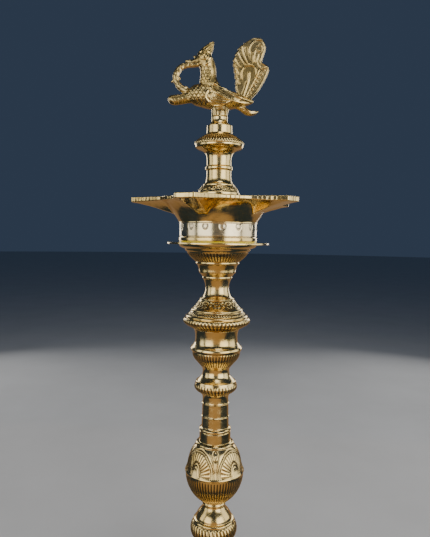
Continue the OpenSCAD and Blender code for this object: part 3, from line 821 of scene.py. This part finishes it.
TAIL_CUTS = [
    (0.5, 0.8, [(30.4, 61), (30, 55.6), (30.6, 51)]),
    (0.5, 0.8, [(25, 66), (26, 59), (29, 52.4)]),
    (0.4, 0.7, [(19.6, 63.6), (22, 57), (25.4, 51)]),
    (0.5, 0.8, [(25.6, 33), (24, 27), (22, 22)]),
]
BARBS = 7
TAIL_HALF = 2.5
TAIL_ROWS = 230
TAIL_ACROSS = 120
TOOTH_PITCH = 5.6
TOOTH_DEPTH = 0.9


def barb(n):
    """The curve of one short barb on the tail's right lobe, from the lowest at the right."""
    k = n / (BARBS - 1)
    x, z, reach = 39.6 - 11.6 * k, 43.6 - 21.6 * k, 3.4 - 1.6 * k
    return [
        (x - reach * 0.5, z - reach * 0.62),
        (x + reach * 0.25, z),
        (x + reach, z + reach * 0.34),
    ]


def there_and_back(front, back):
    """Columns over the front face of a plate, and then back over the other."""
    return np.concatenate([front, back[:, -2:0:-1]], 1)


def tail_plate():
    """The raised tail: a plate in the bird's plane. Its rows run across it from a serrated left
    edge to a lobed right one, first over the front face and then back over the other. Its half
    thickness falls to nothing at the edges as the root of one less a high power, and ridges and
    cuts along curves stand on both faces."""
    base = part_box("bird_body")[0].z / MM
    bottom, top = TAIL_LEFT[0][1], TAIL_LEFT[-1][1]
    level_z = np.linspace(bottom, top - 0.05, TAIL_ROWS)
    left, right = (through(side, 12) for side in (TAIL_LEFT, TAIL_RIGHT))
    x0 = np.interp(level_z, left[:, 1], left[:, 0])
    x1 = np.interp(level_z, right[:, 1], right[:, 0])
    tooth = ((level_z - 31) / TOOTH_PITCH) % 1
    x0 = x0 + TOOTH_DEPTH * tooth**2 * (level_z > 30) * (level_z < 70)
    even = np.linspace(0, 1, TAIL_ACROSS + 1)
    t = 0.35 * (0.5 - 0.5 * np.cos(np.linspace(0, math.pi, TAIL_ACROSS + 1))) + 0.65 * even
    x = x0[:, None] + (x1 - x0)[:, None] * t
    z = np.broadcast_to(level_z[:, None], x.shape)
    height = chasing(x, z, TAIL_RIDGES, TAIL_CUTS)
    for n in range(BARBS):
        height = height + 0.7 * nearness(x, z, barb(n), 0.55)
    height = height + 0.03 * ripple(x, z, 0, 3.4, 31) + 0.05 * ripple(x, z, 0, 13, 32)
    edge = np.sqrt(np.clip(1 - np.abs(2 * t - 1) ** 16, 0, 1))
    fall = np.sqrt(np.clip((top - z) / 2.0, 0, 1))
    half = (TAIL_HALF + height) * edge * fall
    skin_x, skin_y = there_and_back(x, x), there_and_back(-half, half)
    skin_z = there_and_back(z, z)
    points = np.stack([skin_x, skin_y, skin_z + base], -1).reshape(-1, 3) * MM
    columns = skin_x.shape[1]
    middles = points.reshape(TAIL_ROWS, columns, 3)[[0, -1]].mean(1)
    quads, caps = ring_quads(TAIL_ROWS, columns), end_fans(TAIL_ROWS, columns)
    # Painted shade: the plain face and the cuts are marked darker than the raised lines
    recess = np.clip(0.55 - there_and_back(height, height).ravel() / 0.8, 0, 1)
    marks = {"recess": np.concatenate([recess, [0, 0]])}
    return mesh_object("tail_cast", np.concatenate([points, middles]), quads, caps, marks)


# ---------------------------------------------------------------- finishes


class Wire:
    """A shader value that adds its own Math nodes when it is added to or multiplied."""

    def __init__(self, finish, socket):
        self.finish, self.socket = finish, socket

    def _maths(self, operation, other):
        return self.finish.node("ShaderNodeMath", {"operation": operation}, {0: self, 1: other})

    def __add__(self, other):
        return self._maths("ADD", other)

    def __mul__(self, other):
        return self._maths("MULTIPLY", other)

    __radd__ = __add__
    __rmul__ = __mul__


class Finish:
    """A material with one Principled surface, built from wires."""

    def __init__(self, name, metallic=1.0, coat=0.0):
        self.material = bpy.data.materials.new(name)
        self.material.use_nodes = True
        self.tree = self.material.node_tree
        self.surface = self.tree.nodes["Principled BSDF"]
        self.surface.inputs["Metallic"].default_value = metallic
        self.surface.inputs["Coat Weight"].default_value = coat

    def set(self, socket, value):
        """Links a wire to a socket, or gives the socket a number, a vector or a colour."""
        if isinstance(value, Wire):
            self.tree.links.new(value.socket, socket)
        elif socket.type == "RGBA":
            socket.default_value = (*value, 1)
        else:
            socket.default_value = value

    def node(self, kind, settings=None, inputs=None, output=0):
        """Adds a node, sets it up, sets its sockets and gives one of its outputs."""
        made = self.tree.nodes.new(kind)
        for key, value in (settings or {}).items():
            setattr(made, key, value)
        for key, value in (inputs or {}).items():
            self.set(made.inputs[key], value)
        return Wire(self, made.outputs[output])

    def feed(self, socket, wire):
        self.set(self.surface.inputs[socket], wire)

    def coordinates(self, scale=(1, 1, 1)):
        """Object coordinates, stretched."""
        at = self.node("ShaderNodeTexCoord", output="Object")
        return self.node("ShaderNodeMapping", {}, {"Vector": at, "Scale": scale})

    def noise(self, scale, detail=3.0, stretch=(1, 1, 1), roughness=0.5, distortion=0.0):
        inputs = {
            "Vector": self.coordinates(stretch),
            "Scale": scale,
            "Detail": detail,
            "Roughness": roughness,
            "Distortion": distortion,
        }
        return self.node("ShaderNodeTexNoise", {}, inputs)

    def between(self, wire, low, high, out_low=0.0, out_high=1.0):
        """A wire's range from low to high, stretched to a new one and held inside it."""
        inputs = {0: wire, 1: low, 2: high, 3: out_low, 4: out_high}
        return self.node("ShaderNodeMapRange", {"clamp": True}, inputs)

    def mix(self, share, a, b):
        """Colour a where share is 0 and b where it is 1."""
        return self.node("ShaderNodeMix", {"data_type": "RGBA"}, {0: share, 6: a, 7: b}, 2)

    def bump(self, height, distance):
        inputs = {"Height": height, "Distance": distance}
        self.feed("Normal", self.node("ShaderNodeBump", {}, inputs))


PALE = (0.78, 0.60, 0.27)
GOLD = (0.68, 0.48, 0.16)
HONEY = (0.58, 0.36, 0.08)
# Tarnish colour of the random stains, and also of the painted shade in the cuts of the chasing
UMBER = (0.060, 0.030, 0.008)
# The bird's patina colour for random stains, and also for the painted shade on its plain skin and
# cuts
PATINA_AND_SHADE = (0.085, 0.060, 0.022)
# Painted highlight: a near-silver colour that stands in for the soft boxes' reflection on the drum
HIGHLIGHT_SILVER = (0.82, 0.74, 0.54)
SEAL_YELLOW = (0.86, 0.68, 0.01)
SEAL_OCHRE = (0.76, 0.58, 0.01)
PLASTER = (0.60, 0.59, 0.57)
PLASTER_SHADE = (0.56, 0.55, 0.53)

# Scales of the finishes' noises, in cycles to a metre
CLOUDS, STAINS, SMEARS, PITS, GRAIN = 38, 130, 210, 170, 900
TURNING, TURNING_STRETCH = 60, (1, 1, 55)
BAND_FADE = 0.3 * MM


def brass(
    name, rough, light=PALE, deep=GOLD, tarnish_and_shade=UMBER,
    lathe=0.0, cast=0.0, recessed=True, highlight_band=None,
):
    """Polished brass: a cloudy mix of a lighter and a deeper gold with random tarnish stains,
    darker and duller in the cuts of the chasing, where the darkening is painted shade, with fine
    turning lines (lathe) or a soft cast unevenness (cast). A highlight band is the lowest and
    highest z of a stretch painted nearly silver, a painted highlight for the drum's reflection."""
    finish = Finish(name)
    cloud = finish.between(finish.noise(CLOUDS, 4), 0.35, 0.68)
    colour = finish.mix(cloud, light, deep)
    stain = finish.noise(STAINS, 5, roughness=0.62, distortion=0.4)
    stain = finish.between(stain, 0.56, 0.74)
    colour = finish.mix(stain * 0.35, colour, tarnish_and_shade)
    smear = finish.noise(SMEARS, 3)
    roughness = finish.between(smear, 0.3, 0.75, rough * 0.75, rough * 1.5) + stain * 0.10
    # Painted shade: the deeper a point lies in a cut, the more its colour is mixed to the dark
    # tarnish colour
    if recessed:
        mark = finish.node("ShaderNodeAttribute", {"attribute_name": "recess"}, output="Fac")
        shade = finish.between(mark, 0.12, 0.9)
        colour = finish.mix(shade * 0.85, colour, tarnish_and_shade)
        roughness = roughness + shade * 0.2
    # Painted highlight: the band of the drum is mixed half way to near silver in the base colour
    if highlight_band:
        low, high = highlight_band
        z = finish.node("ShaderNodeSeparateXYZ", {}, {0: finish.coordinates()}, output=2)
        above = finish.between(z, low, low + BAND_FADE)
        below = finish.between(z, high - BAND_FADE, high, 1.0, 0.0)
        colour = finish.mix(above * below * 0.5, colour, HIGHLIGHT_SILVER)
    finish.feed("Base Color", colour)
    finish.feed("Roughness", roughness)
    height = finish.noise(GRAIN, 2) * 0.25
    if lathe:
        lines = finish.noise(TURNING, 3, stretch=TURNING_STRETCH, roughness=0.7)
        height = height + lines * lathe
    if cast:
        height = height + finish.noise(PITS, 3, distortion=0.6) * cast
    finish.bump(height, 0.05 * MM)
    return finish.material


def mottled(name, scale, colours, rough_scale, rough, coat=0.0):
    """A smooth finish that isn't metal, with a faint mottle in its colour and its roughness."""
    finish = Finish(name, metallic=0.0, coat=coat)
    cloud = finish.between(finish.noise(scale), 0.3, 0.7)
    finish.feed("Base Color", finish.mix(cloud, *colours))
    finish.feed("Roughness", finish.between(finish.noise(rough_scale), 0.3, 0.7, *rough))
    return finish


def rubber():
    """The seal's smooth yellow rubber."""
    finish = mottled("yellow_seal", 300, (SEAL_YELLOW, SEAL_OCHRE), 400, (0.35, 0.5), coat=0.2)
    finish.bump(finish.noise(1500), 0.03 * MM)
    return finish.material


def plaster():
    """The floor's pale matt plaster."""
    return mottled("pale_floor", 6, (PLASTER, PLASTER_SHADE), 30, (0.75, 0.9)).material


drum_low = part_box("oil_pan")[0].z
# Heights of the drum's painted highlight band
drum_highlight_band = (drum_low + 3.6 * MM, drum_low + DRUM_HEIGHT)
FINISHES = {
    "stem_brass": brass("turned_brass", 0.17, lathe=0.6),
    "foot_brass": brass("foot_brass", 0.18, lathe=0.6),
    "pan_brass": brass("filed_brass", 0.15, lathe=0.4, cast=0.8, highlight_band=drum_highlight_band),
    "bird_brass": brass("cast_brass", 0.19, tarnish_and_shade=PATINA_AND_SHADE, cast=0.3),
    "sheet_brass": brass("spun_sheet_brass", 0.12, lathe=1.0, recessed=False),
    "dull_brass": brass("machined_brass", 0.30, GOLD, HONEY, lathe=1.0, recessed=False),
    "yellow_seal": rubber(),
}


# ---------------------------------------------------------------- pieces, from the foot up


def place(piece, body, node, slot):
    """Puts a finished piece on its body, in a CAD node's stead, with its slot's finish."""
    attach(piece, body)
    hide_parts(node)
    piece.data.materials.clear()
    piece.data.materials.append(FINISHES[slot])


def level(node):
    """The lowest z of a CAD node and its highest z."""
    low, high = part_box(node)
    return low.z, high.z


def band(base, low, high, cut):
    """A band whose heights are given in millimetres above a piece's base."""
    return (base + low * MM, base + high * MM, cut)


foot_low, foot_top = level("base_foot")
pedestal_top = level("base_pedestal")[1]
shaft_top = level("stem_shaft")[1]
knop_top = level("stem_knop")[1]
column_low = level("finial_column")[0]
stud_low, stud_high = level("centre_stud")

FRONT = math.radians(-90)
FIRST_ARCH = FRONT + math.radians(47)
THREAD_PITCH = 2.0 * MM
THREAD_DEPTH = 0.55 * MM
THREAD_END = 1.2 * MM
thread_low, thread_high = stud_low + THREAD_END, stud_high - THREAD_END
stud_thread = thread(THREAD_PITCH, thread_high - thread_low, THREAD_DEPTH)

foot_bands = [
    band(foot_low, 6.4, 14.6, gadroons(64, 0.7 * MM, share=0.1)),
    band(foot_low, 18.8, 44.0, petals(24, 1.3 * MM)),
    band(foot_low, 50.5, 84.5, leaves(16, 0.6 * MM)),
    band(foot_low, 92.4, 105.0, gadroons(40, 0.7 * MM)),
]
pedestal_bands = [band(foot_top, 13.9, 30.6, gadroons(38, 1.2 * MM, lean=0.9, share=0.08))]
shaft_bands = [
    band(pedestal_top, 5.0, 34.8, gadroons(60, 0.8 * MM, share=0.06)),
    band(pedestal_top, 38.6, 63.2, arches(4, 0.75 * MM, FIRST_ARCH)),
]
knop_bands = [
    band(shaft_top, 0.4, 9.8, gadroons(36, 0.9 * MM, lean=0.25)),
    band(shaft_top, 27.6, 42.2, gadroons(48, 0.8 * MM)),
]
capital_bands = [
    band(knop_top, 0.6, 11.0, gadroons(53, 1.0 * MM, lean=0.2)),
    band(knop_top, 14.9, 17.7, beads(60, 0.5 * MM)),
    band(knop_top, 21.4, 29.0, leaves(10, 0.5 * MM)),
    band(knop_top, 67.7, 77.4, gadroons(56, 0.9 * MM, lean=0.15)),
]
column_bands = [
    band(column_low, 4.6, 10.2, leaves(12, 0.4 * MM)),
    band(column_low, 50.4, 60.0, gadroons(54, 0.8 * MM, lean=0.5)),
]
stud_bands = [(thread_low, thread_high, stud_thread)]

# Each turned piece: its name, body, CAD node and slot, its bands, its points round the axis and
# the longest step along its outline where it has ornament
PLAIN = 0.45 * MM
TURNED_PIECES = [
    ("foot", "base", "base_foot", "foot_brass", foot_bands, 384, 0.9 * MM),
    ("pedestal", "base", "base_pedestal", "stem_brass", pedestal_bands, 456, PLAIN),
    ("shaft", "shaft", "stem_shaft", "stem_brass", shaft_bands, 420, 0.8 * MM),
    ("knop", "knop", "stem_knop", "stem_brass", knop_bands, 432, PLAIN),
    ("capital", "capital", "stem_capital", "stem_brass", capital_bands, 416, 0.6 * MM),
    ("finial_turning", "finial", "finial_column", "stem_brass", column_bands, 432, PLAIN),
    ("stud", "capital", "centre_stud", "dull_brass", stud_bands, 48, 0.33 * MM),
    ("post", "finial", "bird_post", "stem_brass", [], 160, PLAIN),
    ("disc", "disc", "drip_disc", "sheet_brass", [], 256, PLAIN),
    ("seal", "seal", "seal_washer", "yellow_seal", [], 200, PLAIN),
    ("loose_ring", "loose_washer", "finial_washer", "sheet_brass", [], 160, PLAIN),
]
for name, body, node, slot, bands, around, fine in TURNED_PIECES:
    place(turned(name, node, bands, around, fine), body, node, slot)
place(oil_pan(), "pan", "oil_pan", "pan_brass")
place(cast_bird(), "finial", "bird_body", "bird_brass")
place(tail_plate(), "finial", "bird_tail", "bird_brass")
for node in ("base_washer", "base_nut"):
    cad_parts[node].data.materials.clear()
    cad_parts[node].data.materials.append(FINISHES["dull_brass"])


# ---------------------------------------------------------------- floor, light and camera


def round_floor(radius, around=96):
    """A flat disc in the plane z = 0: one ring of points about a middle point."""
    angle = np.arange(around) * TURN / around
    points = np.stack([radius * np.cos(angle), radius * np.sin(angle), np.zeros(around)], 1)
    points = np.concatenate([points, [[0, 0, 0]]])
    j = np.arange(around)
    fans = np.stack([j, (j + 1) % around, np.full(around, around)], 1)
    piece = mesh_object("floor", points, np.empty((0, 4)), fans)
    piece.data.materials.append(plaster())
    piece.visible_glossy = False


WHITE = (1, 1, 1)
CREAM = (1, 0.93, 0.80)
AMBER = (1, 0.60, 0.22)
BOX_SPREAD = math.radians(150)
AIM = Vector((0, 0, 0.42))


def soft_light(name, azimuth, power, width, tall=1.1, height=0.62, distance=1.3, colour=WHITE):
    """A soft box round the lamp: azimuth 0 is at the front and 90 at +X, and it faces the stem."""
    data = bpy.data.lights.new(name, "AREA")
    data.shape = "RECTANGLE"
    data.size, data.size_y, data.energy, data.color = width, tall, power, colour
    data.spread = BOX_SPREAD
    lamp = bpy.data.objects.new(name, data)
    a = math.radians(azimuth)
    lamp.location = (distance * math.sin(a), -distance * math.cos(a), height)
    lamp.rotation_mode = "QUATERNION"
    lamp.rotation_quaternion = (AIM - lamp.location).to_track_quat("-Z", "Y")
    lamp.visible_camera = False
    bpy.context.scene.collection.objects.link(lamp)


def dark_room(colour):
    """A world of one dim colour."""
    world = bpy.data.worlds.new("studio")
    bpy.context.scene.world = world
    world.use_nodes = True
    world.node_tree.nodes["Background"].inputs["Color"].default_value = (*colour, 1)
    world.node_tree.nodes["Background"].inputs["Strength"].default_value = 1.0


def look(location, lens, dip, roll):
    """The camera, level and looking along +Y but for its dip and its roll in degrees."""
    data = bpy.data.cameras.new("camera")
    data.lens, data.sensor_width = lens, 36
    camera = bpy.data.objects.new("camera", data)
    bpy.context.scene.collection.objects.link(camera)
    camera.location = location
    tilt = Matrix.Rotation(math.radians(90 - dip), 3, "X")
    camera.rotation_mode = "QUATERNION"
    turn = Matrix.Rotation(math.radians(roll), 3, "Z")
    camera.rotation_quaternion = (tilt @ turn).to_quaternion()
    bpy.context.scene.camera = camera


round_floor(12)
soft_light("key_box", 43, 8.5, 1.1)
soft_light("key_wing", 94, 4, 1.0)
soft_light("side_box", -39, 6, 1.0)
soft_light("side_wing", -82, 2, 0.6)
soft_light("back_left_box", -146, 3, 0.4, 1.0, height=0.70, distance=1.5)
soft_light("back_right_box", 150, 3, 0.5, 1.0, height=0.70, distance=1.5)
soft_light("front_fill", 0, 0.35, 1.4, 1.6, height=0.70, distance=1.7, colour=CREAM)
soft_light("top_box", 20, 3, 0.6, 0.6, height=1.9, distance=0.5)
soft_light("warm_bounce", -5, 1.2, 1.4, 0.9, height=0.012, distance=0.60, colour=AMBER)
soft_light("warm_bounce_back", 175, 0.8, 1.4, 0.9, height=0.012, distance=0.60, colour=AMBER)
dark_room((0.030, 0.045, 0.075))
look((-0.0024, -0.522, 0.430), lens=35, dip=3.67, roll=0.83)
